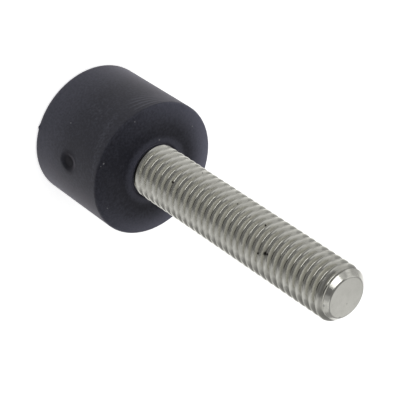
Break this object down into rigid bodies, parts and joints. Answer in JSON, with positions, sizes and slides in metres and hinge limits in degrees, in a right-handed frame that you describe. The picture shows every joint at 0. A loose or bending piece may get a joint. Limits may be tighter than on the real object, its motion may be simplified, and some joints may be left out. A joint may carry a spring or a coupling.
{
  "type": "rubber foot",
  "caption": "Round rubber foot moulded round the head of an upright threaded steel stud, to screw under a leg or machine.",
  "frame": {"origin": "centre of the rubber base, on the surface that the foot stands on", "axes": "+Z along the stud, from the base to the stud's end; -Y towards the gate mark in the rubber's side"},
  "size_m": [0.0203, 0.0202, 0.055],
  "materials": {
    "rubber": "matte black moulded rubber",
    "plated_steel": "rolled thread, zinc plated"
  },
  "bodies": {
    "root": {"rubber_body": "rubber", "threaded_stud": "plated_steel"}
  },
  "joints": []
}
